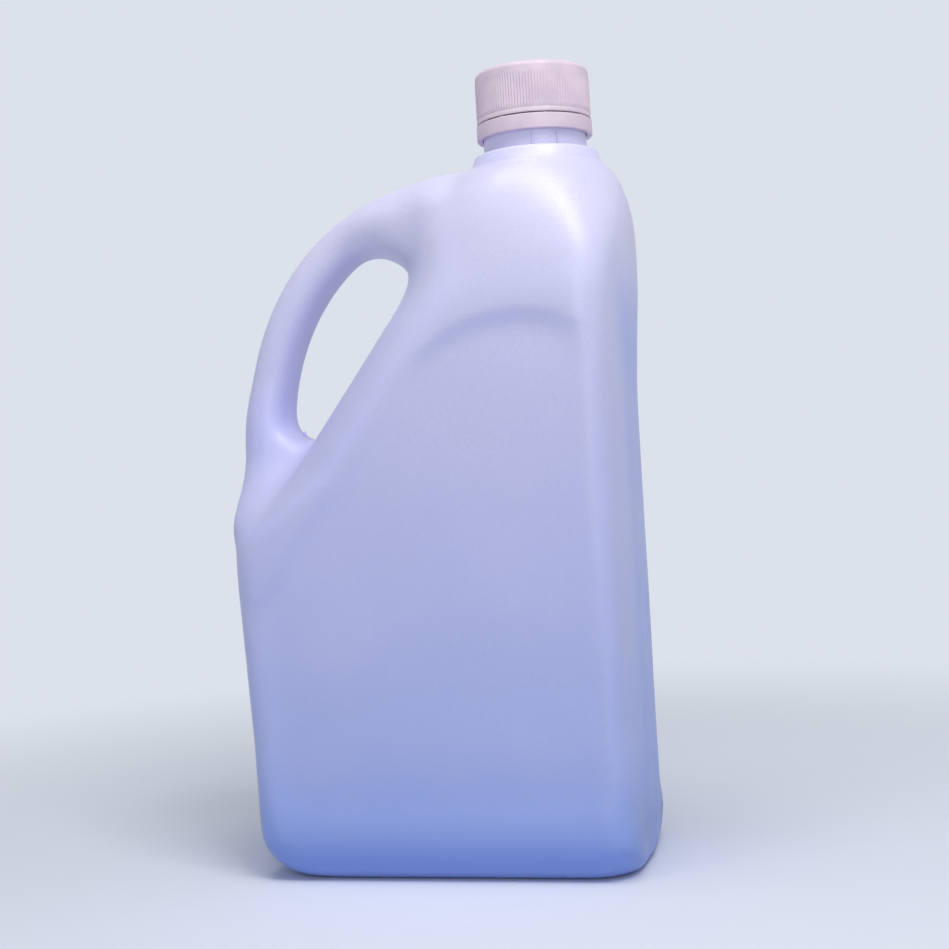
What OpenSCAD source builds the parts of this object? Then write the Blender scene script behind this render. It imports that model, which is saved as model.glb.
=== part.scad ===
// Blow-moulded handled jug with a screw cap.
// X runs from the handle to the neck side, Y from front to back, Z up.
// The origin is on the floor, under the middle of the jug's outer box.

/* [Body] */
// Width between the two narrow side walls
body_w = 145.5; // [134:0.5:158]
// Depth from front to back
body_d = 82; // [74:1:94]
// Height of the left wall, up to the slope under the handle
wall_h = 121.5; // [114:0.5:132]
// Angle of that slope above the level
slope_deg = 53; // [51:1:55]
// How far the left wall leans in towards the floor
draft = 5.5; // [0:0.5:7]
// Radius of the upright edges, seen from above
edge_r = 12; // [9:1:16]
// Width of the flat band down the middle of a narrow side
band_w = 23; // [16:1:28]
// How far the neck side falls away beside that band
crown = 4; // [0.5:0.5:5]
// How far the handle side falls away beside its band
left_crown = 1.5; // [0.5:0.5:3]
// Height of the rounding at the foot
foot_h = 20; // [14:1:26]
// How far the rounding at the foot reaches in
foot_in = 10; // [8:1:14]
// How far the foot lies towards the neck side
foot_shift = 4; // [0:0.5:5]
// Height of the hollow under the base
push_up = 4; // [2:0.5:6]
// Thickness of the blown wall
wall = 1.4; // [1:0.1:1.8]

/* [Shoulder] */
// Height of the collar's top edge
collar_top = 255; // [250:1:264]
// Height at which the narrow sides start to round over
shoulder_z = 223; // [216:1:228]
// Height at which front and back start to round over
crest_z = 201; // [196:1:206]
// How far the right shoulder stands out past the wall below it
shoulder_out = 3; // [1:0.2:5]
// Length of the shoulder left of the collar
dome_l = 25; // [21:1:28]

/* [Label panel] */
// Depth of the recess
panel_depth = 1.8; // [0.5:0.1:2.5]
// Height of the top of its arch
panel_top = 194.5; // [188:0.5:195]
// Radius of the arch
arch_r = 55; // [46:1:60]
// Radius of the corner between the arch and the right edge
arch_corner = 18; // [14:1:24]
// Distance of its edge from the narrow sides
panel_side = 8.8; // [7:0.2:12]
// Distance of its edge from the slope
panel_slope = 23.3; // [21:0.1:28]
// Height of its lower edge
panel_foot = 24; // [20:1:40]
// Width of the soft step round it
panel_soft = 13; // [8:1:15]

/* [Handle] */
// Thickness of the handle, seen from the front
handle_t = 16; // [13:0.5:19]
// Depth of the handle, front to back
handle_d = 24; // [18:1:28]
// How far the handle stands out past the left wall
handle_out = 2; // [0:0.5:5]
// Height at which the handle starts to bend over
bend_z = 142; // [138:1:146]
// Height below which the handle is full in its lower root
root_z = 155; // [150:1:160]
// Growth in thickness at the upper root
root_top = 18; // [14:1:24]
// Growth in thickness at the lower root
root_low = 14; // [10:1:18]
// Height at which the lower root starts to spread in depth
spread_z = 152; // [144:1:156]

/* [Neck] */
// Distance of the neck's axis from the right wall
neck_inset = 30.55; // [28:0.05:34]
// How far the collar's foot stands out past the neck
collar_w = 5.2; // [4:0.1:6]
// Height of the collar's sloped side
collar_h = 5; // [4:0.5:6]
// Room between the neck and the cap for the thread, on the radius
thread_room = 1.5; // [1.2:0.1:2]
// Thickness of the neck's wall behind the thread
neck_wall = 1.7; // [1.4:0.1:2.4]
// How far the plain neck stands out past the wall behind the thread
neck_step = 1; // [0.8:0.1:1.2]
// How far the bead that keeps the tamper ring on stands out
bead_out = 0.7; // [0.6:0.05:0.8]
// Gap between the collar and the tamper ring
ring_lift = 5.9; // [3:0.1:9]

/* [Cap] */
// Outer diameter of the cap over its ribs
cap_d = 41.3; // [38:0.1:44]
// Height of the cap above the tear line
cap_h = 18.4; // [15:0.2:22]
// Thickness of the cap's top
cap_top_t = 1.6; // [1:0.1:2.4]
// Thickness of the cap's skirt behind the ribs
skirt_t = 1.2; // [0.9:0.1:1.4]
// Radius of the cap's top edge
cap_round = 2.2; // [1:0.1:3]
// Number of ribs round the skirt
ribs = 120; // [60:4:140]
// Height of a rib above the groove beside it
rib_t = 0.35; // [0.2:0.05:0.5]
// Height of the smooth bead at the skirt's lower edge
hem_h = 2; // [1:0.1:3]
// Height of the smooth band above the ribs
brow_h = 4; // [3.2:0.2:5]
// Thickness of the seal disc in the cap
liner_t = 1.2; // [0.6:0.1:2]

/* [Tamper ring] */
// How far the tamper ring stands out past the cap
ring_out = 0.25; // [0.2:0.05:0.5]
// Height of the tamper ring
ring_h = 5.3; // [4.4:0.1:7]
// Width of the slit between ring and cap
slit = 0.5; // [0.3:0.05:0.8]
// Number of bridges across the slit
bridges = 8; // [4:1:16]
// Width of a bridge
bridge_w = 1.2; // [0.6:0.1:2]

/* [Clearances] */
// Running clearance between the ring and the bead and neck, on the radius
ring_fit = 0.3; // [0.2:0.05:0.4]
// Clearance over the bridges and under the seal disc
seal_fit = 0.2; // [0.1:0.05:0.3]
// Clearance of the seal disc in the cap, on the radius
liner_fit = 0.3; // [0.2:0.05:0.6]

/* [Hidden] */

// Places along X
overall_w = body_w + handle_out + shoulder_out;
out_x = -overall_w / 2;
left_x = out_x + handle_out;
right_x = overall_w / 2 - shoulder_out;
neck_x = right_x - neck_inset;

// Closure: the cap's size sets the neck, the bead, the collar and the tamper ring
bore_r = cap_d / 2 - rib_t - skirt_t;
thread_r = bore_r - thread_room;
mouth_r = thread_r - neck_wall;
neck_r = thread_r + neck_step;
lip_r = neck_r - neck_wall;
bead_r = neck_r + bead_out;
collar_r = neck_r + collar_w;
ring_r = cap_d / 2 + ring_out;

// Shoulder: its round is part of an ellipse that ends inside the collar
collar_slope = 1.2;
loft_top = collar_top - collar_h;
loft_r = collar_r - 0.2;
round_end = 82;
function round_off(z, from) =
  let (t = asin(min(1, max(0, z - from) * sin(round_end) / (loft_top - from))))
  (1 - cos(t)) / (1 - cos(round_end));

// Heights above the collar
ring_z = collar_top + ring_lift;
slit_z = ring_z + ring_h;
skirt_z = slit_z + slit;
cap_z = skirt_z + cap_h;
liner_z = cap_z - cap_top_t - liner_t;
rim_z = liner_z - seal_fit;

// Small maths
function ramp(t) = let (c = min(1, max(0, t))) c * c * (3 - 2 * c);
function soft_max(a, b, k) = max(a, b) + pow(max(k - abs(a - b), 0), 2) / (4 * k);
function soft_min(a, b, k) = -soft_max(-a, -b, k);
function mix(a, b, t) = a + (b - a) * t;

// Left and right outline of the body at height z, and its half depth
slope_soft = 6;
function left_wall(z) = left_x + draft * (1 - z / wall_h);
function left_slope(z) = left_x + (z - wall_h) / tan(slope_deg);
function left_dome(z) = neck_x - loft_r - dome_l * (1 - round_off(z, shoulder_z));
function left_edge(z) =
  soft_max(left_wall(z), soft_min(left_slope(z), left_dome(z), slope_soft), slope_soft);
waist_z = 158;
function right_edge(z) =
  mix(right_x + shoulder_out * ramp((z - waist_z) / (shoulder_z - waist_z)),
      neck_x + loft_r, round_off(z, shoulder_z));
function half_depth(z) = mix(body_d / 2, loft_r, round_off(z, crest_z));

// How far the foot's rounding draws the outline in, for a skin that lies t inside the outer one
function foot_inset(z, t) =
  z >= foot_h ? t
  : t + (foot_in - t) * (1 - sqrt(1 - pow((foot_h - z) / (foot_h - t), 2)));

// Label panel: five arcs round its edge, each with its middle, its radius and the directions it runs between
heel_r = 20;
toe_r = 14;
arch_z = panel_top - arch_r;
arch_x = left_x + (panel_slope + arch_r + (arch_z - wall_h) * cos(slope_deg)) / sin(slope_deg);
arch_turn = acos(min(0.95, max(-0.5,
  (right_x - panel_side - arch_corner - arch_x) / (arch_r - arch_corner))));
heel_z = wall_h + ((panel_side + heel_r) * sin(slope_deg) - panel_slope - heel_r) / cos(slope_deg);
toe_z = panel_foot + toe_r;
panel_arcs = [
  [[arch_x, arch_z] + (arch_r - arch_corner) * [cos(arch_turn), sin(arch_turn)], arch_corner, 0, arch_turn],
  [[arch_x, arch_z], arch_r, arch_turn, 90 + slope_deg],
  [[left_wall(heel_z) + panel_side + heel_r, heel_z], heel_r, 90 + slope_deg, 180],
  [[left_wall(toe_z) + panel_side + toe_r, toe_z], toe_r, 180, 270],
  [[right_x - panel_side - toe_r, toe_z], toe_r, 270, 360],
];
// The panel's edge moved in by d, clockwise as seen from the front
arc_grain = 6;
function panel_edge(d) =
  [for (i = [len(panel_arcs) - 1:-1:0], k = [arc_grain:-1:i == 1 ? 1 : 0])
    let (c = panel_arcs[i], a = mix(c[2], c[3], k / arc_grain))
    c[0] + (c[1] - d) * [cos(a), sin(a)]];
// Solid that presses the panel into the front and the back, for a skin that lies t inside.
// Its rim stands a little proud of the flat face.
panel_rim = 0.15;
module panel_press(t, n) {
  rings = [for (k = [0:n])
    let (y = t - body_d / 2 - panel_rim + (panel_depth + panel_rim) * ramp(k / n))
    [for (p = panel_edge(panel_soft * (k / n - 0.5))) [p[0], y, p[1]]]];
  for (m = [0, 1])
    mirror([0, m, 0])
      loft(rings);
}

// One quarter of a level section, from the middle of a narrow side to the middle of the front.
// edge holds the corner's two radii, grain the number of steps round the corner and along the face.
outer_grain = [8, 5];
inner_grain = [3, 3];
function quarter(hw, hd, edge, fall, grain) =
  concat(
    [[hw, 0], [hw, min(band_w / 2, (hd - edge[1]) / 2)]],
    [for (k = [0:grain[0]]) let (a = 90 * k / grain[0])
      [hw - fall - edge[0] * (1 - cos(a)), hd - edge[1] * (1 - sin(a))]],
    [for (k = [1:grain[1] - 1]) [(hw - fall - edge[0]) * (1 - k / grain[1]), hd]]
  );

// The left corner is an upright edge below and a broad round along the slope above
slope_edge = [30, 36];
function left_corner(z, t) =
  let (s = ramp((z - wall_h + 4) / 30))
  [mix(edge_r, slope_edge[0], s) - t, mix(edge_r, slope_edge[1], s) - t];

// A whole level section: squared in the body, turning into a circle at the collar
function level(z, t, grain) =
  let (inset = foot_inset(z, t),
       shift = foot_shift * (inset - t) / foot_in,
       xl = left_edge(z) + inset + shift,
       xr = right_edge(z) - inset + shift,
       hw = (xr - xl) / 2,
       xc = (xr + xl) / 2,
       hd = half_depth(z) - inset,
       m = ramp((z - crest_z) / (loft_top - crest_z)),
       foot_grow = inset - t,
       re = edge_r - t + foot_grow / 2,
       le = left_corner(z, t) + [foot_grow, foot_grow] / 2,
       fade = ramp((z - foot_h / 2) / foot_h) * (1 - m),
       left_fall = left_crown * fade,
       rq = quarter(hw, hd, [re, re], crown * fade, grain),
       lq = quarter(hw, hd, [min(le[0], hw - left_fall), min(le[1], hd)], left_fall, grain),
       n = len(rq),
       flat = [for (q = [0:3], k = [0:n - 1])
         q == 0 ? rq[k]
         : q == 1 ? (k == 0 ? [0, hd] : [-lq[n - k][0], lq[n - k][1]])
         : q == 2 ? -lq[k]
         : (k == 0 ? [0, -hd] : [rq[n - k][0], -rq[n - k][1]])])
  [for (k = [0:4 * n - 1])
    let (a = 90 * k / n,
         p = [mix(flat[k][0], hw * cos(a), m), mix(flat[k][1], hd * sin(a), m)])
    [xc + p[0], p[1], z]];

// Rings of the base, from its middle out to the foot
base_steps = [[0.2, 1], [0.5, 0.85], [0.7, 0.4], [0.84, 0]];
function base_rings(t, grain) =
  let (foot = level(t, t, grain), xc = foot_shift + (left_edge(t) + right_edge(t)) / 2)
  [for (s = base_steps)
    [for (p = foot) [xc + (p[0] - xc) * s[0], p[1] * s[0], t + push_up * s[1]]]];

// Heights of the level sections: close together in the foot, the slope and the shoulder.
// steps holds how many lie in the foot, the straight walls, the slope and the shoulder.
slope_z = wall_h - 15;
outer_steps = [6, 3, 14, 13];
inner_steps = [4, 3, 8, 6];
function heights(t, steps) = concat(
  [for (k = [0:steps[0] - 1]) t + (foot_h - t) * (1 - cos(90 * k / steps[0]))],
  [for (k = [0:steps[1] - 1]) mix(foot_h, slope_z, k / steps[1])],
  [for (k = [0:steps[2] - 1]) mix(slope_z, crest_z, k / steps[2])],
  [for (k = [0:steps[3]]) mix(crest_z, loft_top, sin(90 * k / steps[3]))]
);

// Skin over a row of rings, which run anticlockwise as seen from the last one.
// Each end is closed by a fan round its middle.
function middle(ring) = [for (r = ring) 1] * ring / len(ring);
module loft(rings) {
  m = len(rings[0]);
  n = len(rings);
  last = (n - 1) * m;
  sides = [for (i = [0:n - 2], j = [0:m - 1])
    let (a = i * m + j, b = i * m + (j + 1) % m)
    each [[a, a + m, b + m], [a, b + m, b]]];
  ends = [for (j = [0:m - 1])
    let (k = (j + 1) % m)
    each [[n * m, j, k], [n * m + 1, last + k, last + j]]];
  polyhedron(concat([for (r = rings) each r], [middle(rings[0]), middle(rings[n - 1])]),
             concat(sides, ends));
}

// Body of the jug, t inside its outer skin. lift raises the last ring to open the top.
module body_form(t, steps, grain, lift) {
  last = level(loft_top, t, grain);
  loft(concat(base_rings(t, grain), [for (z = heights(t, steps)) level(z, t, grain)],
    lift > 0 ? [[for (p = last) p + [0, 0, lift]]] : []));
}

// Handle: its outer line is upright, then a full quarter ellipse over to the collar
arc_x = neck_x - collar_r + 1.7;
arc_a = arc_x - out_x;
arc_b = collar_top - 4.5 - bend_z;
foot_bury = 7;
low_z = wall_h - 22;
tail = 2;
low_n = 8;
arc_n = 32;

// Each station: outer point, then the direction out of the handle. They lie closer at both roots.
function low_station(s) =
  let (z = mix(low_z, bend_z, s))
  [[mix(left_x + foot_bury, out_x, 1 - pow(1 - s, 3)), z], [-1, 0]];
arc_full = 0.855;
function arc_station(a) =
  let (n = [-pow(cos(a), 2 - arc_full) / arc_a, pow(sin(a), 2 - arc_full) / arc_b])
  [[arc_x - arc_a * pow(cos(a), arc_full), bend_z + arc_b * pow(sin(a), arc_full)], n / norm(n)];
stations = concat(
  [for (k = [0:low_n - 1]) low_station(k / low_n)],
  [for (k = [0:arc_n]) arc_station(90 * ramp(k / arc_n))],
  [[[arc_x + tail, bend_z + arc_b], [0, 1]]]
);

// Thickness and half depth of the handle at a station's outer point
low_reach = 17;
top_reach = 58;
top_grow = 23;
function thickness(p) =
  handle_t
  + root_low * pow(min(1.1, max(0, root_z + low_reach - p[1]) / (low_reach - 2)), 4)
      * (p[0] < arc_x - top_reach ? 1 : 0)
  + root_top * pow(min(1.3, max(0, p[0] - arc_x + top_reach) / top_grow), 2);
top_spread = 24;
spread_end = 0.8;
function depth(p) =
  min(body_d / 2 - 5,
      handle_d / 2 + soft_max(0, spread_z - p[1], 12)
      + top_spread * pow(min(spread_end, max(0, p[0] - arc_x + top_reach) / top_reach), 1.3));
function squareness(p) = mix(2.3, 4.5, ramp((spread_z - p[1]) / 30));

// Section of the handle at a station, t inside its outer skin
function signed_pow(v, e) = sign(v) * pow(abs(v), e);
function grip_ring(s, t, n) =
  let (p = s[0],
       half = thickness(p) / 2 - t,
       hd = depth(p) - t,
       e = 2 / squareness(p),
       mid = p - s[1] * thickness(p) / 2)
  [for (k = [0:n - 1])
    let (a = 360 * k / n,
         u = half * signed_pow(cos(a), e),
         c = mid + s[1] * u)
    [c[0], -hd * signed_pow(sin(a), e), c[1]]];
module handle_form(t, n) {
  loft([for (s = stations) grip_ring(s, t, n)]);
}

// Collar and neck in section: outside up to the rim, then down the mouth
collar_round = 1.4;
bead_h = 1.6;
bead_z = ring_z + 2.2;
module neck_profile() {
  polygon(concat(
    [[collar_r, loft_top - 1.4], [collar_r, loft_top + 0.4]],
    [for (a = [18:18:90])
      [collar_r - collar_slope - collar_round * (1 - cos(a)), collar_top - collar_round * (1 - sin(a))]],
    [
      [neck_r, collar_top],
      [neck_r, bead_z],
      [bead_r, bead_z + 0.3],
      [bead_r, bead_z + bead_h / 2],
      [thread_r, bead_z + bead_h],
      [thread_r, rim_z - 0.4],
      [thread_r - 0.4, rim_z],
      [mouth_r + 0.3, rim_z],
      [mouth_r, rim_z - 0.3],
      [mouth_r, bead_z + bead_h],
      [lip_r, bead_z - 1],
      [lip_r, collar_top - 0.8],
      [collar_r - 2.6, loft_top - 1.4],
    ]));
}

module jug_body() {
  color("#b9c1ec") {
    // The blown skin, brought to its outer width and depth
    resize([overall_w, body_d, 0])
      difference() {
        union() {
          body_form(0, outer_steps, outer_grain, 0);
          handle_form(0, 30);
        }
        panel_press(0, 7);
        difference() {
          body_form(wall, inner_steps, inner_grain, wall);
          panel_press(wall, 3);
        }
        handle_form(wall, 10);
      }
    translate([neck_x, 0, 0])
      rotate_extrude($fn = 96) neck_profile();
  }
}

module skirt_outline() {
  step = 360 / ribs;
  top_r = cap_d / 2;
  low_r = cap_d / 2 - rib_t;
  polygon([for (k = [0:ribs - 1], s = [0, 0.25, 0.5, 0.75])
    let (r = s == 0 || s == 0.25 ? top_r : low_r, a = (k + s) * step)
    r * [cos(a), sin(a)]]);
}

module cap_profile() {
  r = cap_d / 2;
  polygon(concat(
    [[bore_r, skirt_z], [r, skirt_z], [r, skirt_z + hem_h - 0.4], [r - rib_t - 0.1, skirt_z + hem_h],
     [r - rib_t - 0.1, cap_z - brow_h], [r - 0.1, cap_z - brow_h + 0.4]],
    [for (a = [0:15:90])
      [r - 0.1 - cap_round * (1 - cos(a)), cap_z - cap_round * (1 - sin(a))]],
    [[0, cap_z], [0, cap_z - cap_top_t], [bore_r, cap_z - cap_top_t]]));
}

module screw_cap() {
  color("#e2d0e2")
    translate([neck_x, 0, 0]) {
      rotate_extrude($fn = 96) cap_profile();
      translate([0, 0, skirt_z + hem_h - 0.2])
        linear_extrude(cap_h - hem_h - brow_h + 0.4)
          difference() {
            skirt_outline();
            circle(r = bore_r + 0.2, $fn = 96);
          }
    }
}

// The ring's inner lip hooks under the neck's bead
module ring_profile() {
  r = ring_r;
  inner_r = bead_r + ring_fit;
  polygon([
    [neck_r + ring_fit, ring_z],
    [r - 0.3, ring_z],
    [r, ring_z + 0.3],
    [r, slit_z - 0.4],
    [r - 0.4, slit_z],
    [inner_r, slit_z],
    [inner_r, bead_z - ring_fit],
    [neck_r + ring_fit, bead_z - 2 * ring_fit],
  ]);
}

module tamper_ring() {
  bridge_t = 0.8;
  color("#e2d0e2")
    translate([neck_x, 0, 0]) {
      rotate_extrude($fn = 96) ring_profile();
      for (k = [0:bridges - 1])
        rotate(360 * (k + 0.5) / bridges)
          translate([ring_r - 0.6 - bridge_t, -bridge_w / 2, slit_z - 0.3])
            cube([bridge_t, bridge_w, 0.3 + slit - seal_fit]);
    }
}

module cap_liner() {
  color("#efeff2")
    translate([neck_x, 0, liner_z])
      cylinder(h = liner_t, r = bore_r - liner_fit, $fn = 96);
}

jug_body();
tamper_ring();
cap_liner();
screw_cap();
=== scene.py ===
import math

import bmesh
import bpy
from mathutils import Matrix, Vector, noise


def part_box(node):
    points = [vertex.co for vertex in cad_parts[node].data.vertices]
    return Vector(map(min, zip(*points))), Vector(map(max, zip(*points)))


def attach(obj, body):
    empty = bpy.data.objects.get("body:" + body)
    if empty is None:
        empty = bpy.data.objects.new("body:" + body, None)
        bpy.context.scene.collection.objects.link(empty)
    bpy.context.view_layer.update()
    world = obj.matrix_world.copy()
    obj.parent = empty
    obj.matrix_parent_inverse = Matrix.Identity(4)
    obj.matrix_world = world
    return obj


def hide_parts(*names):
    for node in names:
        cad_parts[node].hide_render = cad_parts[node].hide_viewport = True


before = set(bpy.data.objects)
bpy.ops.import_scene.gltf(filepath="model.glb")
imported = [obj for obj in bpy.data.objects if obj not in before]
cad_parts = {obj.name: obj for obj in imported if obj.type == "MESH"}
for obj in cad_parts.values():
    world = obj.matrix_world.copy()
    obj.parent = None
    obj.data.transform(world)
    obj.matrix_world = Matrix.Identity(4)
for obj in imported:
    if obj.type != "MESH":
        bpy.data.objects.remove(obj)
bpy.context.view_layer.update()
scene = bpy.context.scene
scene.view_settings.view_transform = "Standard"

mm = 0.001
capLow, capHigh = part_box("screw_cap")
ringLow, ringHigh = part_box("tamper_ring")
linerLow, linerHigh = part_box("cap_liner")
jugLow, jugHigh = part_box("jug_body")
neckX = (capLow.x + capHigh.x) / 2
print("frame loaded, neck axis at", round(neckX, 4))


# shader maths: wraps a socket, operators add Math nodes
class Wire:
    def __init__(self, tree, socket):
        self.tree, self.socket = tree, socket

    # any other node: its type, settings first, then socket values or links
    def put(self, kind, settings=None, sockets=None, out=0):
        node = self.tree.nodes.new("ShaderNode" + kind)
        for key, value in (settings or {}).items():
            setattr(node, key, value)
        for key, value in (sockets or {}).items():
            if isinstance(value, Wire):
                self.tree.links.new(value.socket, node.inputs[key])
            else:
                node.inputs[key].default_value = value
        return Wire(self.tree, node.outputs[out])

    def maths(self, operation, first, second):
        return self.put("Math", {"operation": operation}, {0: first, 1: second})

    def __add__(self, other):
        return self.maths("ADD", self, other)

    def __radd__(self, other):
        return self.maths("ADD", other, self)

    def __sub__(self, other):
        return self.maths("SUBTRACT", self, other)

    def __rsub__(self, other):
        return self.maths("SUBTRACT", other, self)

    def __mul__(self, other):
        return self.maths("MULTIPLY", self, other)

    def __rmul__(self, other):
        return self.maths("MULTIPLY", other, self)


def srgb(red, green, blue):
    def linear(v):
        v = v / 255
        return v / 12.92 if v <= 0.04045 else ((v + 0.055) / 1.055) ** 2.4
    return (linear(red), linear(green), linear(blue), 1)


# starts a material: gives its shader and a wire on Object coordinates
def newMaterial(name):
    material = bpy.data.materials.new(name)
    material.use_nodes = True
    tree = material.node_tree
    shader = tree.nodes["Principled BSDF"]
    place = tree.nodes.new("ShaderNodeTexCoord")
    return material, shader, Wire(tree, place.outputs["Object"])


def feed(wire, shader, name):
    wire.tree.links.new(wire.socket, shader.inputs[name])


def mixTone(wire, share, first, second):
    return wire.put("Mix", {"data_type": "RGBA"}, {0: share, 6: first, 7: second}, out=2)


def noiseAt(place, scale, detail):
    return place.put("TexNoise", None, {"Vector": place, "Scale": scale, "Detail": detail})


def span(wire, low, high):  # smooth 0 to 1 between low and high
    return wire.put("MapRange", {"interpolation_type": "SMOOTHSTEP"},
                    {0: wire, 1: low, 2: high, 3: 0.0, 4: 1.0})


# natural polythene, pale lilac, with painted light at the shoulder and painted shade, darker and bluer,
# towards the foot, on the narrow neck side and where the wall looks down; a pair says where a change starts
# and where it ends
milky = {
    "top": srgb(215, 212, 246), "mid": srgb(190, 193, 240), "low": srgb(167, 179, 238),
    "foot": srgb(136, 159, 231), "side": srgb(124, 157, 244), "cloud": srgb(204, 202, 243),
    "under": srgb(110, 139, 221), "dirt": srgb(78, 96, 160),
    "footToLow": (0.01, 0.052), "lowToMid": (0.03, 0.15), "midToTop": (0.13, 0.25),
    "sideAcross": (0.0695, 0.0735), "sideEnds": (0.18, 0.222), "sideShare": 0.55,
    "leanRise": (0.04, 0.4), "leanFall": (0.4, 0.9), "underShare": 0.75, "underLess": 0.4,
    "broadDepth2": (0.0007, 0.0011), "footUnder": (0.02, 0.045),
    "cloudScale": 22.0, "cloudRange": (0.4, 0.75), "cloudRise": (0.0, 0.09), "cloudShare": 0.25,
    "grain": 1500.0, "grainRange": (0.35, 0.8), "grainShare": 0.14, "grainRelief": 0.5,
    "speck": (-0.0047, -0.0405, 0.0234), "speckR": (0.00025, 0.0005), "speckShare": 0.6,
    "roughness": 0.33, "peel": 190.0, "peelRough": 0.08, "peelRelief": 1.2,
    "scuff": 60.0, "scuffRange": (0.55, 0.8), "scuffRough": 0.1, "bump": 0.12, "bumpDeep": 0.0004,
    "subsurface": 0.35, "scatter": (0.9, 1.0, 1.3), "scatterDeep": 0.006, "ior": 1.53,
}


def milkyPlastic():
    s = milky
    material, shader, place = newMaterial("milkyPlastic")
    across, depth, height = (place.put("SeparateXYZ", None, {0: place}, out=k) for k in range(3))
    lean = place.put("Attribute", {"attribute_name": "lean"}, out=2)
    # painted shade: darker and bluer towards the foot; painted light: paler towards the shoulder
    tone = mixTone(place, span(height, *s["footToLow"]), s["foot"], s["low"])
    tone = mixTone(place, span(height, *s["lowToMid"]), tone, s["mid"])
    tone = mixTone(place, span(height, *s["midToTop"]), tone, s["top"])
    # painted shade and painted blue reflection on the narrow side by the neck, fading out towards the
    # shoulder
    sideShadeMask = span(across, *s["sideAcross"]) * (1 - span(height, *s["sideEnds"]))
    tone = mixTone(place, sideShadeMask * s["sideShare"], tone, s["side"])
    # painted shade where the wall looks down, on the broad faces and the foot; the handle's underside stays
    # pale
    broad = span(depth * depth, *s["broadDepth2"])
    low = 1 - span(height, *s["footUnder"])
    downShadeMask = span(lean, *s["leanRise"]) * (s["underShare"] - s["underLess"] * span(lean, *s["leanFall"]))
    tone = mixTone(place, downShadeMask * (broad + low - broad * low), tone, s["under"])
    cloud = span(noiseAt(place, s["cloudScale"], 3.0), *s["cloudRange"])
    tone = mixTone(place, cloud * span(height, *s["cloudRise"]) * s["cloudShare"], tone, s["cloud"])
    grain = noiseAt(place, s["grain"], 2.0)
    tone = mixTone(place, span(grain, *s["grainRange"]) * s["grainShare"], tone, s["foot"])
    away = place.put("VectorMath", {"operation": "DISTANCE"}, {0: place, 1: s["speck"]}, out=1)
    tone = mixTone(place, (1 - span(away, *s["speckR"])) * s["speckShare"], tone, s["dirt"])
    feed(tone, shader, "Base Color")
    peel = noiseAt(place, s["peel"], 2.0)
    scuff = span(noiseAt(place, s["scuff"], 6.0), *s["scuffRange"])
    feed(s["roughness"] + peel * s["peelRough"] + scuff * s["scuffRough"], shader, "Roughness")
    relief = grain * s["grainRelief"] + peel * s["peelRelief"]
    bump = place.put("Bump", None, {"Strength": s["bump"], "Distance": s["bumpDeep"], "Height": relief})
    feed(bump, shader, "Normal")
    shader.inputs["Subsurface Weight"].default_value = s["subsurface"]
    shader.inputs["Subsurface Radius"].default_value = s["scatter"]
    shader.inputs["Subsurface Scale"].default_value = s["scatterDeep"]
    shader.inputs["IOR"].default_value = s["ior"]
    return material


# cap and ring: a pale pinkish moulding
capTone = {
    "light": srgb(221, 202, 214), "shade": srgb(202, 183, 200), "cloudScale": 120.0,
    "cloudRange": (0.3, 0.75), "cloudShare": 0.6, "grain": 2600.0, "grainShare": 0.15,
    "roughness": 0.42, "grainRough": 0.12, "bump": 0.1, "bumpDeep": 0.0002,
    "subsurface": 0.1, "scatter": (1.0, 0.8, 0.8), "scatterDeep": 0.002,
}


def capPlastic():
    s = capTone
    material, shader, place = newMaterial("capPlastic")
    cloud = span(noiseAt(place, s["cloudScale"], 4.0), *s["cloudRange"])
    grain = noiseAt(place, s["grain"], 2.0)
    share = cloud * s["cloudShare"] + grain * s["grainShare"]
    feed(mixTone(place, share, s["light"], s["shade"]), shader, "Base Color")
    feed(s["roughness"] + grain * s["grainRough"], shader, "Roughness")
    bump = place.put("Bump", None, {"Strength": s["bump"], "Distance": s["bumpDeep"], "Height": grain})
    feed(bump, shader, "Normal")
    shader.inputs["Subsurface Weight"].default_value = s["subsurface"]
    shader.inputs["Subsurface Radius"].default_value = s["scatter"]
    shader.inputs["Subsurface Scale"].default_value = s["scatterDeep"]
    return material


foamTone = {
    "light": srgb(240, 240, 244), "shade": srgb(220, 221, 230), "cells": 1400.0,
    "roughness": 0.7, "cellRough": 0.2, "bump": 0.3, "bumpDeep": 0.0003,
}


def linerFoam():
    s = foamTone
    material, shader, place = newMaterial("linerFoam")
    cells = place.put("TexVoronoi", None, {"Vector": place, "Scale": s["cells"]})
    feed(mixTone(place, cells, s["light"], s["shade"]), shader, "Base Color")
    feed(s["roughness"] + cells * s["cellRough"], shader, "Roughness")
    bump = place.put("Bump", None, {"Strength": s["bump"], "Distance": s["bumpDeep"], "Height": cells})
    feed(bump, shader, "Normal")
    return material


finishes = {"milky": milkyPlastic(), "cap": capPlastic(), "liner": linerFoam()}
print("finishes made:", len(finishes))


def markSharp(bm, degrees):
    limit = math.radians(degrees)
    for face in bm.faces:
        face.smooth = True
    for edge in bm.edges:
        edge.smooth = len(edge.link_faces) != 2 or edge.calc_face_angle(0) < limit


def finishPiece(name, bm, material, body, node):
    mesh = bpy.data.meshes.new(name)
    bm.to_mesh(mesh)
    bm.free()
    mesh.materials.append(material)
    piece = bpy.data.objects.new(name, mesh)
    scene.collection.objects.link(piece)
    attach(piece, body)
    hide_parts(node)
    print(name, "made,", len(mesh.polygons), "faces")


# turns a section of (radius, height) points about the neck's axis
def spinSection(bm, points, steps, closed):
    verts = [bm.verts.new((neckX + r, 0, z)) for r, z in points]
    pairs = list(zip(verts, verts[1:])) + ([(verts[-1], verts[0])] if closed else [])
    edges = [bm.edges.new(pair) for pair in pairs]
    bmesh.ops.spin(bm, geom=verts + edges, cent=(neckX, 0, 0), axis=(0, 0, 1),
                   dvec=(0, 0, 0), angle=math.tau, steps=steps, use_merge=True)
    bmesh.ops.remove_doubles(bm, verts=bm.verts, dist=1e-6)


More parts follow.
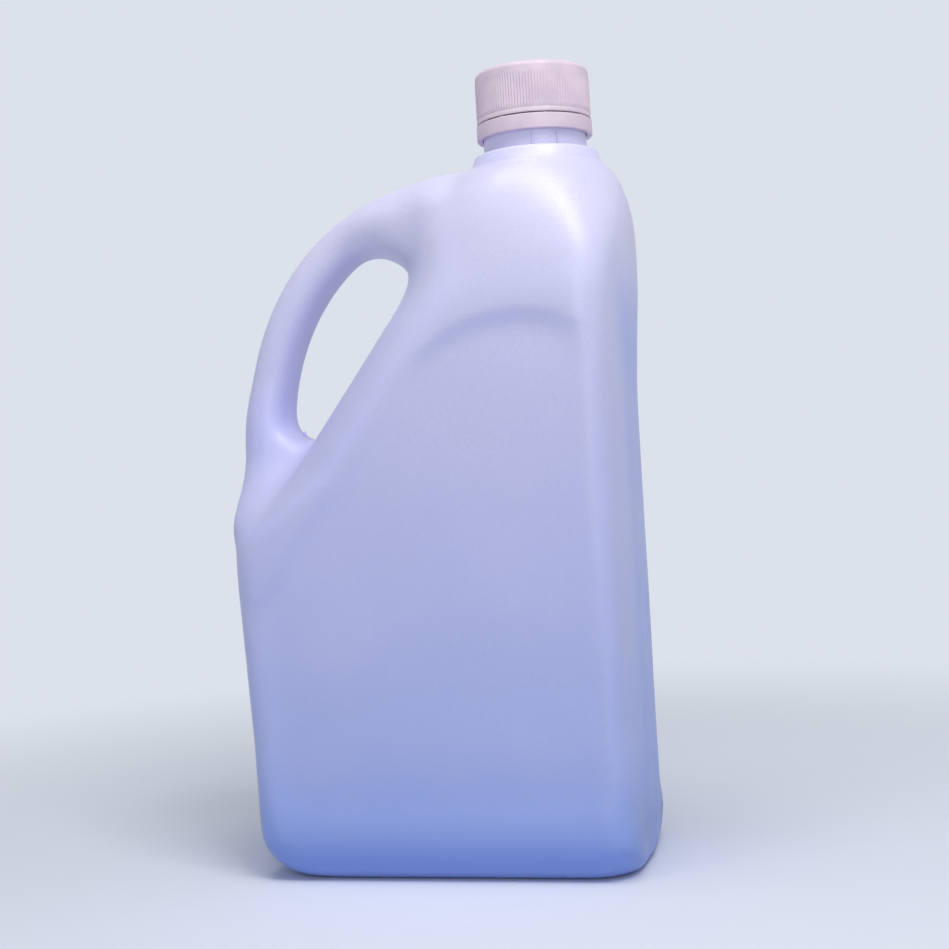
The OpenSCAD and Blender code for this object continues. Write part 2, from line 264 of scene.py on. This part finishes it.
# points of a rounded corner in a section, from one angle to another
def arcPoints(centreR, centreZ, radius, fromDeg, toDeg, count):
    turn = [math.radians(fromDeg + (toDeg - fromDeg) * k / count) for k in range(count + 1)]
    return [(centreR + radius * math.cos(a), centreZ + radius * math.sin(a)) for a in turn]


threadForm = {
    "pitch": 0.0042333, "rootH": 0.0018, "crestH": 0.0008, "sunk": 0.0002, "stands": 0.001,
    "startDeg": 40, "stepsATurn": 72, "endRate": 9, "endLeast": 0.02,
}


# a screw thread on a wall, outside (1) or inside (-1): a small section swept up a helix, its ends let
# down into the wall
def addThread(bm, wallR, outward, lowZ, turns):
    s = threadForm
    rootR, crestR = wallR - outward * s["sunk"], wallR + outward * s["stands"]
    section = [(rootR, -s["rootH"] / 2), (crestR, -s["crestH"] / 2),
               (crestR, s["crestH"] / 2), (rootR, s["rootH"] / 2)]
    steps = int(turns * s["stepsATurn"])
    rise = s["pitch"] * turns
    start = Matrix.Translation((neckX, 0, 0)) @ Matrix.Rotation(math.radians(s["startDeg"]), 4, "Z")
    known = set(bm.verts)
    verts = [bm.verts.new(start @ Vector((r, 0, lowZ + h))) for r, h in section]
    edges = [bm.edges.new(pair) for pair in zip(verts, verts[1:] + verts[:1])]
    bmesh.ops.spin(bm, geom=verts + edges, cent=(neckX, 0, 0), axis=(0, 0, 1),
                   dvec=(0, 0, rise / steps), angle=math.tau * turns, steps=steps)
    grown = {v for v in bm.verts if v not in known}
    for v in grown:
        out = Vector((v.co.x - neckX, v.co.y, 0))
        along = (v.co.z - lowZ) / rise
        fromEnd = min(along, 1 - along) * turns
        ease = min(1, max(s["endLeast"], fromEnd * s["endRate"]))
        out = out.normalized() * (rootR + (out.length - rootR) * ease)
        v.co.x, v.co.y = neckX + out.x, out.y
    ends = [e for e in bm.edges if e.is_boundary and e.verts[0] in grown]
    bmesh.ops.holes_fill(bm, edges=ends, sides=2 * len(section))


# the blown wall: where its skins meet the neck, how it is evened out, boxes (x, z) round the handle's
# roots, and small moves of the skin, each with its place, half width and reach
shell = {
    "merge": 2e-6, "outerCut": 0.2495, "innerCut": 0.2482, "lift": 0.008, "openUp": 0.0001,
    "voxel": 0.0014, "step": 0.5, "stepBack": -0.42, "calmRounds": 5, "calmTop": 0.2472, "smoothing": 14,
    "roots": (((-0.024, 0.024), (0.196, 0.2465)), ((-0.078, -0.034), (0.104, 0.172))),
    "rootRings": 6, "rootRounds": 7, "rootFade": 0.008, "giveBack": 55,
    "sink": 0.00016, "wave": 0.00012, "waveScale": 26.0,
    "waveFoot": 0.01, "waveTop": 0.223, "waveFade": 0.02,
    "swellOut": 0.00145, "swellZ": 0.156, "swellHalf": 0.028, "swellX": -0.056, "swellRun": 0.008,
    "heelX": 0.05, "heelRun": 0.016, "heelOut": 0.0014, "heelZ": 0.001, "heelHalf": 0.008, "heelDeep": 0.03,
    "edgeIn": 0.001, "edgeY": 0.02, "edgeZ": 0.014, "edgeHalf": 0.014,
    "stopIn": 0.00014, "stopSoft": 0.00025, "footH": 0.02,
    "seamW": 0.00026, "seamH": 0.00008, "seamSnap": 0.00001,
    "seamFoot": 0.0008, "seamTop": 0.247, "seamFade": 0.002,
}


def islands(bm):
    left, found = set(bm.verts), []
    while left:
        stack, group = [left.pop()], set()
        while stack:
            v = stack.pop()
            group.add(v)
            for e in v.link_edges:
                other = e.other_vert(v)
                if other in left:
                    left.discard(other)
                    stack.append(other)
        found.append(group)
    return found


def openAbove(bm, height):
    bmesh.ops.bisect_plane(bm, geom=bm.verts[:] + bm.edges[:] + bm.faces[:], dist=1e-7,
                           plane_co=(0, 0, height), plane_no=(0, 0, 1), clear_outer=True)


# one skin of the blown wall: the outer one reaches furthest towards the handle
def skinOf(node, outer):
    bm = bmesh.new()
    bm.from_mesh(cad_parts[node].data)
    bmesh.ops.remove_doubles(bm, verts=bm.verts, dist=shell["merge"])
    openAbove(bm, shell["outerCut"] if outer else shell["innerCut"])
    groups = sorted(islands(bm), key=lambda g: min(v.co.x for v in g))
    keep = groups[0] if outer else groups[1]
    bmesh.ops.delete(bm, geom=[v for v in bm.verts if v not in keep], context="VERTS")
    return bm


def relax(bm, verts, factor):
    bmesh.ops.smooth_vert(bm, verts=verts, factor=factor,
                          use_axis_x=True, use_axis_y=True, use_axis_z=True)


# remeshed evenly and relaxed, so that facets and creases melt as in a blown wall
def smoothSkin(bm):
    s = shell
    rim = [e for e in bm.edges if e.is_boundary]
    raised = bmesh.ops.extrude_edge_only(bm, edges=rim)["geom"]
    bmesh.ops.translate(bm, verts=[g for g in raised if isinstance(g, bmesh.types.BMVert)],
                        vec=(0, 0, s["lift"]))
    bmesh.ops.holes_fill(bm, edges=[e for e in bm.edges if e.is_boundary], sides=0)
    bmesh.ops.recalc_face_normals(bm, faces=bm.faces)
    rough = bpy.data.meshes.new("roughSkin")
    bm.to_mesh(rough)
    bm.free()
    holder = bpy.data.objects.new("roughSkin", rough)
    scene.collection.objects.link(holder)
    voxels = holder.modifiers.new("voxels", "REMESH")
    voxels.mode, voxels.voxel_size = "VOXEL", s["voxel"]
    graph = bpy.context.evaluated_depsgraph_get()
    even = bpy.data.meshes.new_from_object(holder.evaluated_get(graph))
    bpy.data.objects.remove(holder)
    fine, drift = bmesh.new(), bmesh.new()
    fine.from_mesh(even)
    drift.from_mesh(even)
    bpy.data.meshes.remove(even)
    bpy.data.meshes.remove(rough)
    for _ in range(s["calmRounds"]):
        relax(fine, fine.verts, s["step"])
    wall = [v for v in fine.verts if v.co.z < s["calmTop"]]
    for _ in range(s["smoothing"]):
        relax(fine, wall, s["step"])
    # the roots again, each step mostly taken back so that the handle keeps its girth
    for (lowX, highX), (lowZ, highZ) in s["roots"]:
        for k in range(s["rootRings"]):
            pull = s["rootFade"] * k / s["rootRings"]
            near = [v for v in fine.verts if lowX + pull < v.co.x < highX - pull
                    and lowZ + pull < v.co.z < highZ - pull]
            for _ in range(s["rootRounds"]):
                relax(fine, near, s["step"])
                relax(fine, near, s["stepBack"])
    # what relaxing took off the girth is spread evenly and given back
    for v, d in zip(fine.verts, drift.verts):
        d.co -= v.co
    for _ in range(s["giveBack"]):
        relax(drift, drift.verts, s["step"])
    for v, d in zip(fine.verts, drift.verts):
        v.co += d.co
    drift.free()
    openAbove(fine, s["outerCut"] + s["openUp"])
    return fine


def ramp(value, start, run):  # 0 up to start, then evenly to 1
    return min(1, max(0, (value - start) / run))


def bell(value, middle, half):  # 1 at the middle, 0 from half away
    return max(0, 1 - ((value - middle) / half) ** 2)


# room left to a stop, eased so that it never falls below 0; far away it is unchanged
def softly(room, soft):
    return room if room > 12 * soft else soft * math.log1p(math.exp(room / soft))


# the slight waviness of a blown wall, the swell of the handle's lower root, the rounder heel of the
# neck side, feet on the floor
def waveSkin(bm):
    s = shell
    stop = jugLow.x + s["stopIn"]
    farStop = jugHigh.x - s["stopIn"]
    bm.normal_update()
    for v in bm.verts:
        calm = ramp(v.co.z, s["waveFoot"], s["waveFade"]) * (1 - ramp(v.co.z, s["waveTop"], s["waveFade"]))
        v.co += v.normal * (noise.noise(v.co * s["waveScale"]) * s["wave"] * calm - s["sink"])
        swell = s["swellOut"] * bell(v.co.z, s["swellZ"], s["swellHalf"]) ** 2
        swell *= ramp(-v.co.x, -s["swellX"], s["swellRun"])
        v.co += Vector((v.normal.x, v.normal.y, 0)) * swell
        heel = s["heelOut"] * bell(v.co.z, s["heelZ"], s["heelHalf"]) * bell(v.co.y, 0, s["heelDeep"])
        edge = s["edgeIn"] * bell(v.co.z, s["edgeZ"], s["edgeHalf"])
        edge *= bell(abs(v.co.y), s["edgeY"], s["edgeY"])
        v.co.x += (heel - edge) * ramp(v.co.x, s["heelX"], s["heelRun"])
        # eased in before it would pass the solid's furthest points
        v.co.x = stop + softly(v.co.x - stop, s["stopSoft"])
        v.co.x = farStop - softly(farStop - v.co.x, s["stopSoft"])
    gap = min(v.co.z for v in bm.verts)
    for v in bm.verts:
        v.co.z -= gap * max(0, 1 - v.co.z / s["footH"])


def cutAlong(bm, y):
    geom = bm.verts[:] + bm.edges[:] + bm.faces[:]
    found = bmesh.ops.bisect_plane(bm, geom=geom, dist=shell["seamSnap"],
                                   plane_co=(0, y, 0), plane_no=(0, 1, 0))["geom_cut"]
    return [g for g in found if isinstance(g, bmesh.types.BMVert)]


# parting line of the two mould halves: the skin is cut along the middle plane and on both sides of it,
# and the middle cut is drawn out to a fine ridge
def addSeam(bm):
    s = shell
    ridge = cutAlong(bm, 0)
    cutAlong(bm, s["seamW"])
    cutAlong(bm, -s["seamW"])
    bm.normal_update()
    for v in ridge:
        fade = ramp(v.co.z, s["seamFoot"], s["seamFade"]) * (1 - ramp(v.co.z, s["seamTop"], s["seamFade"]))
        v.co += Vector((v.normal.x, 0, v.normal.z)) * s["seamH"] * fade


# the neck finish, in mm, its bead and bore as (radius, height above the bead's foot); ribs at these
# degrees stop the ring from turning; nub: flash left at the hole's foot
neck = {
    "collarFoot": (24.1, 250.0), "collarWall": (23.8, 250.35), "collarTop": (22.6, 253.6),
    "collarRound": 1.4, "collarDeg": 16, "neckR": 18.6, "neckRound": 0.6, "neckMid": 259.0,
    "bead": 263.1, "beadR": 19.3, "beadForm": ((19.2, 0.25), (19.3, 0.5), (19.3, 0.8), (17.85, 1.5)),
    "threadFoot": 1.8, "threadR": 17.6, "turns": 1.75, "threadDown": 11.5, "rimRound": 0.4, "rimDeg": 30,
    "mouthR": 15.9, "mouthRound": 0.3, "boreForm": ((15.9, 1.6), (16.9, -1)), "lip": (16.9, 254.2),
    "innerFoot": (20.3, 249.6), "steps": 160, "sharp": 42,
    "ribs": (-82, -54, 98, 126), "ribW": 0.8, "ribH": 0.36, "ribLow": 255.3, "ribTop": 259.7,
    "ribSoft": 0.18,
    "nub": (-53.3, 0, 159.7), "nubR": 0.9, "nubShape": (0.75, 0.6, 1.15),
}


def neckSection():
    s = neck
    rimZ = jugHigh.z / mm
    topR, topZ = s["collarTop"]
    points = [s["collarFoot"], s["collarWall"]]
    points += arcPoints(topR - s["collarRound"], topZ, s["collarRound"], s["collarDeg"], 90, 6)
    points += arcPoints(s["neckR"] + s["neckRound"], topZ + s["collarRound"] + s["neckRound"],
                        s["neckRound"], 270, 180, 4)
    points += [(s["neckR"], s["neckMid"]), (s["neckR"], s["bead"])]
    points += [(r, s["bead"] + up) for r, up in s["beadForm"]]
    points += [(s["threadR"], s["bead"] + s["threadFoot"]), (s["threadR"], rimZ - s["rimRound"])]
    points += arcPoints(s["threadR"] - s["rimRound"], rimZ - s["rimRound"],
                        s["rimRound"], s["rimDeg"], 90, 3)
    points += arcPoints(s["mouthR"] + s["mouthRound"], rimZ - s["mouthRound"], s["mouthRound"], 90, 180, 3)
    points += [(r, s["bead"] + up) for r, up in s["boreForm"]]
    points += [s["lip"], s["innerFoot"]]
    return [(r * mm, z * mm) for r, z in points]


# adds the faces of another bmesh, gives the open edges that came with them
def takeIn(bm, other):
    mesh = bpy.data.meshes.new("innerSkin")
    other.to_mesh(mesh)
    other.free()
    known = set(bm.edges)
    bm.from_mesh(mesh)
    bpy.data.meshes.remove(mesh)
    return [e for e in bm.edges if e not in known and e.is_boundary]


# spins the neck and joins its two ends to the rims of the outer and the inner skin
def addNeck(bm, outerRim, innerRim):
    s = neck
    known = set(bm.edges)
    spinSection(bm, neckSection(), s["steps"], False)
    ends = [e for e in bm.edges if e not in known and e.is_boundary]
    axis = Vector((neckX, 0))
    split = (s["collarFoot"][0] + s["innerFoot"][0]) / 2 * mm
    outerEnd = [e for e in ends if (e.verts[0].co.xy - axis).length > split]
    innerEnd = [e for e in ends if e not in set(outerEnd)]
    bmesh.ops.bridge_loops(bm, edges=outerRim + outerEnd)
    bmesh.ops.bridge_loops(bm, edges=innerRim + innerEnd)
    bmesh.ops.recalc_face_normals(bm, faces=bm.faces)


# how far each point of the wall looks down, which the plastic's painted shade reads
def markLean(bm):
    bm.normal_update()
    lean = bm.verts.layers.float.new("lean")
    for v in bm.verts:
        v[lean] = max(0, -v.normal.z)


def addRatchetRibs(bm):
    s = neck
    tall = s["ribTop"] - s["ribLow"]
    for degrees in s["ribs"]:
        made = bmesh.ops.create_cube(bm, size=1)["verts"]
        bmesh.ops.scale(bm, verts=made, vec=(2 * s["ribH"] * mm, s["ribW"] * mm, tall * mm))
        bmesh.ops.translate(bm, verts=made, vec=(s["neckR"] * mm, 0, (s["ribLow"] + tall / 2) * mm))
        spot = Matrix.Translation((neckX, 0, 0)) @ Matrix.Rotation(math.radians(degrees), 4, "Z")
        bmesh.ops.transform(bm, matrix=spot, verts=made)
        bmesh.ops.bevel(bm, geom=list({e for v in made for e in v.link_edges}), offset=s["ribSoft"] * mm,
                        affect="EDGES", segments=2, profile=0.5, material=-1)


def addNub(bm):
    s = neck
    made = bmesh.ops.create_icosphere(bm, subdivisions=3, radius=s["nubR"] * mm)["verts"]
    bmesh.ops.scale(bm, verts=made, vec=s["nubShape"])
    bmesh.ops.translate(bm, verts=made, vec=[c * mm for c in s["nub"]])


def buildJug():
    s = neck
    bm = smoothSkin(skinOf("jug_body", True))
    waveSkin(bm)
    addSeam(bm)
    outerRim = [e for e in bm.edges if e.is_boundary]
    innerRim = takeIn(bm, skinOf("jug_body", False))
    addNeck(bm, outerRim, innerRim)
    markLean(bm)
    addThread(bm, s["threadR"] * mm, 1, jugHigh.z - s["threadDown"] * mm, s["turns"])
    addRatchetRibs(bm)
    addNub(bm)
    bmesh.ops.recalc_face_normals(bm, faces=bm.faces)
    markSharp(bm, s["sharp"])
    return bm


finishPiece("jugShell", buildJug(), finishes["milky"], "jug", "jug_body")

# the cap, in mm
capForm = {
    "ribs": 120, "ribDepth": 0.34, "ribRows": 10, "ribShift": 0.1, "ribRun": 0.9, "ribEnd": 0.2,
    "ribZone": 0.5, "ribPower": 1.4, "columns": 6,
    "hem": 2.0, "hemRound": 0.3, "hemTop": 0.7, "grooveIn": 0.24, "grooveTop": 0.2, "grooveLow": 0.4,
    "brow": 3.6, "browStep": 0.5, "bandIn": 0.1, "round": 2.2, "roundDeg": 96,
    "skirt": 1.2, "top": 1.6, "corner": 0.4, "dish": 0.25, "dishIn": 6, "dishEdge": 4.2, "dishEase": 0.7,
    "turns": 1.5, "threadUp": 4.5, "sharp": 50,
}


# the cap's section from the middle of its top, down the outside and up the bore
def capSection(r, boreR, lowZ, topZ, ribLow, ribHigh):
    s = capForm
    roofZ = topZ - s["top"]
    points = [(0, topZ - s["dish"]), (r - s["dishIn"], topZ - s["dish"]),
              (r - s["dishEdge"], topZ - s["dish"] * s["dishEase"])]
    points += arcPoints(r - s["bandIn"] - s["round"], topZ - s["round"], s["round"], s["roundDeg"], 0, 9)
    points += [(r - s["bandIn"], ribHigh + s["browStep"])]
    points += [(r, ribHigh + s["ribShift"] - (ribHigh - ribLow) * k / s["ribRows"])
               for k in range(s["ribRows"] + 1)]
    points += [(r - s["grooveIn"], ribLow - s["grooveTop"]), (r - s["grooveIn"], ribLow - s["grooveLow"]),
               (r, ribLow - s["hemTop"]), (r, lowZ + 1.5 * s["hemRound"])]
    points += arcPoints(r - s["hemRound"], lowZ + s["hemRound"], s["hemRound"], 0, -90, 3)
    points += [(boreR + s["hemRound"], lowZ), (boreR, lowZ + s["corner"]), (boreR, roofZ - s["corner"]),
               (boreR - s["corner"], roofZ), (0, roofZ)]
    return [(a * mm, z * mm) for a, z in points]


def buildCap():
    s = capForm
    r = (capHigh.x - capLow.x) / 2 / mm
    lowZ, topZ = capLow.z / mm, capHigh.z / mm
    boreR = r - s["ribDepth"] - s["skirt"]
    ribLow, ribHigh = lowZ + s["hem"], topZ - s["brow"]
    bm = bmesh.new()
    spinSection(bm, capSection(r, boreR, lowZ, topZ, ribLow, ribHigh), s["ribs"] * s["columns"], False)
    bmesh.ops.recalc_face_normals(bm, faces=bm.faces)
    # grooves between the ribs
    grooveLow, grooveHigh = ribLow - s["ribEnd"], ribHigh + s["ribEnd"]
    for v in bm.verts:
        out = Vector((v.co.x - neckX, v.co.y, 0))
        z = v.co.z / mm
        if out.length / mm < r - s["ribZone"] or not grooveLow < z < grooveHigh:
            continue
        around = math.atan2(out.y, out.x) * s["ribs"]
        groove = (0.5 - 0.5 * math.cos(around)) ** s["ribPower"]
        ends = ramp(z, grooveLow, s["ribRun"]) * ramp(-z, -grooveHigh, s["ribRun"])
        out = out.normalized() * (out.length - groove * ends * s["ribDepth"] * mm)
        v.co.x, v.co.y = neckX + out.x, out.y
    addThread(bm, boreR * mm, -1, (lowZ + s["threadUp"]) * mm, s["turns"])
    bmesh.ops.recalc_face_normals(bm, faces=bm.faces)
    markSharp(bm, s["sharp"])
    return bm


finishPiece("screwCap", buildCap(), finishes["cap"], "cap", "screw_cap")

# the tear ring, in mm: it hooks under the neck's bead
ringForm = {
    "play": 0.3, "hookSoft": 0.15, "hookTop": 0.3, "hookEnd": 0.6, "footRound": 0.35, "headRound": 0.45,
    "headStep": 0.5, "edge": 0.1, "slit": 0.3, "steps": 192, "sharp": 45,
    "bridges": 8, "bridgeW": 1.2, "bridgeT": 0.8, "bridgeH": 0.8, "bridgeIn": 0.75, "bridgeThin": 0.6,
}


def buildRing():
    s = ringForm
    r = (ringHigh.x - ringLow.x) / 2 / mm
    lowZ, topZ = ringLow.z / mm, ringHigh.z / mm - s["slit"]
    innerR, hookR = neck["beadR"] + s["play"], neck["neckR"] + s["play"]
    hookZ = neck["bead"]
    points = [(hookR, lowZ + s["hookSoft"]), (hookR + s["hookSoft"], lowZ)]
    points += arcPoints(r - s["footRound"], lowZ + s["footRound"], s["footRound"], -90, 0, 4)
    points += [(r, topZ - s["headStep"])]
    points += arcPoints(r - s["headRound"], topZ - s["headRound"], s["headRound"], 0, 90, 5)
    points += [(innerR + s["edge"], topZ), (innerR, topZ - s["edge"]), (innerR, hookZ - s["hookTop"]),
               (hookR, hookZ - s["hookEnd"])]
    bm = bmesh.new()
    spinSection(bm, [(a * mm, z * mm) for a, z in points], s["steps"], True)
    bmesh.ops.recalc_face_normals(bm, faces=bm.faces)
    for k in range(s["bridges"]):
        turn = Matrix.Rotation(math.tau * (k + 0.5) / s["bridges"], 4, "Z")
        made = bmesh.ops.create_cube(bm, size=1)["verts"]
        bmesh.ops.scale(bm, verts=made, vec=(s["bridgeT"] * mm, s["bridgeW"] * mm, s["bridgeH"] * mm))
        for v in made:
            if v.co.z > 0:
                v.co.y *= s["bridgeThin"]  # each bridge thins towards the tear line
        middleZ = ringHigh.z - s["bridgeH"] / 2 * mm
        bmesh.ops.translate(bm, verts=made, vec=((r - s["bridgeIn"]) * mm, 0, middleZ))
        bmesh.ops.transform(bm, matrix=Matrix.Translation((neckX, 0, 0)) @ turn, verts=made)
    markSharp(bm, s["sharp"])
    return bm


finishPiece("tamperRing", buildRing(), finishes["cap"], "jug", "tamper_ring")

# the liner, with the neck's rim pressed into it between these shares of its radius
linerForm = {
    "soft": 0.00025, "press": 0.0001, "pressFrom": (0.78, 0.8), "pressTo": (0.92, 0.94),
    "steps": 128, "sharp": 40,
}


def buildLiner():
    s = linerForm
    r = (linerHigh.x - linerLow.x) / 2
    lowZ, topZ = linerLow.z, linerHigh.z
    pressZ = lowZ + s["press"]
    points = [(0, lowZ), (r * s["pressFrom"][0], lowZ), (r * s["pressFrom"][1], pressZ),
              (r * s["pressTo"][0], pressZ), (r * s["pressTo"][1], lowZ)]
    points += [(r - s["soft"], lowZ), (r, lowZ + s["soft"]), (r, topZ - s["soft"]), (r - s["soft"], topZ),
               (0, topZ)]
    bm = bmesh.new()
    spinSection(bm, points, s["steps"], False)
    bmesh.ops.recalc_face_normals(bm, faces=bm.faces)
    markSharp(bm, s["sharp"])
    return bm


finishPiece("capLiner", buildLiner(), finishes["liner"], "liner", "cap_liner")

# camera at the photo's angle: a little to the neck side, level, slightly rolled
view = {
    "lens": 58.8, "sensor": 36, "clip": (0.01, 20), "place": (0.14885, -0.5541, 0.1445),
    "yaw": 13.9, "pitch": -0.38, "roll": 3.4,
}
yaw, pitch, roll = (math.radians(view[k]) for k in ("yaw", "pitch", "roll"))
ahead = Vector((-math.sin(yaw) * math.cos(pitch), math.cos(yaw) * math.cos(pitch), math.sin(pitch)))
right = ahead.cross(Vector((0, 0, 1))).normalized()
upward = right.cross(ahead)
camRight = right * math.cos(roll) - upward * math.sin(roll)
camUp = right * math.sin(roll) + upward * math.cos(roll)
camData = bpy.data.cameras.new("camera")
camData.lens, camData.sensor_width, camData.sensor_fit = view["lens"], view["sensor"], "HORIZONTAL"
camData.clip_start, camData.clip_end = view["clip"]
camera = bpy.data.objects.new("camera", camData)
scene.collection.objects.link(camera)
turn = Matrix((camRight, camUp, -ahead)).transposed()
camera.matrix_world = Matrix.Translation(view["place"]) @ turn.to_4x4()
scene.camera = camera

# pale floor that runs out into the backdrop's colour, soft lights from the front and above
stageLook = {
    "floor": srgb(230, 234, 242), "fleck": srgb(205, 212, 226), "fleckScale": 40.0, "fleckShare": 0.1,
    "roughness": 0.9, "reach": 6, "sky": srgb(220, 225, 236), "skyLight": 0.37, "fade": (0.12, 0.55),
}
floorMesh = bmesh.new()
bmesh.ops.create_grid(floorMesh, x_segments=1, y_segments=1, size=stageLook["reach"])
floorData = bpy.data.meshes.new("floor")
floorMesh.to_mesh(floorData)
floorMesh.free()
floor = bpy.data.objects.new("floor", floorData)
scene.collection.objects.link(floor)
floorLook, floorShader, floorPlace = newMaterial("floorLook")
fleck = noiseAt(floorPlace, stageLook["fleckScale"], 2.0) * stageLook["fleckShare"]
feed(mixTone(floorPlace, fleck, stageLook["floor"], stageLook["fleck"]), floorShader, "Base Color")
floorShader.inputs["Roughness"].default_value = stageLook["roughness"]
reach = floorPlace.put("VectorMath", {"operation": "LENGTH"}, {0: floorPlace}, out=1)
far = floorPlace.put("Emission", None, {"Color": stageLook["sky"]})
near = Wire(floorLook.node_tree, floorShader.outputs[0])
blend = floorPlace.put("MixShader", None, {0: span(reach, *stageLook["fade"]), 1: near, 2: far})
feed(blend, floorLook.node_tree.nodes["Material Output"], "Surface")
floorData.materials.append(floorLook)

world = bpy.data.worlds.new("studio")
world.use_nodes = True
scene.world = world
tree = world.node_tree
backdrop = tree.nodes["Background"]
path = tree.nodes.new("ShaderNodeLightPath")
seen = Wire(tree, path.outputs["Is Camera Ray"])
for kind in ("Is Glossy Ray", "Is Transmission Ray"):
    seen = seen.maths("MAXIMUM", seen, Wire(tree, path.outputs[kind]))
feed(seen * (1 - stageLook["skyLight"]) + stageLook["skyLight"], backdrop, "Strength")
backdrop.inputs["Color"].default_value = stageLook["sky"]

lamps = {
    "key": {"place": (0.34, -0.38, 0.85), "aim": (0, 0, 0.16), "size": 0.32, "power": 3.05},
    "above": {"place": (-0.02, -0.22, 1.05), "aim": (0, 0, 0.16), "size": 0.45, "power": 3.0},
    "front": {"place": (0.34, -0.97, 0.38), "aim": (0, 0, 0.14), "size": 0.6, "power": 2.2},
}
for name, s in lamps.items():
    lampData = bpy.data.lights.new(name, "AREA")
    lampData.shape, lampData.size, lampData.energy = "SQUARE", s["size"], s["power"]
    lamp = bpy.data.objects.new(name, lampData)
    scene.collection.objects.link(lamp)
    lamp.location = s["place"]
    lamp.rotation_euler = (Vector(s["aim"]) - Vector(s["place"])).to_track_quat("-Z", "Y").to_euler()
print("stage, camera and lights set")
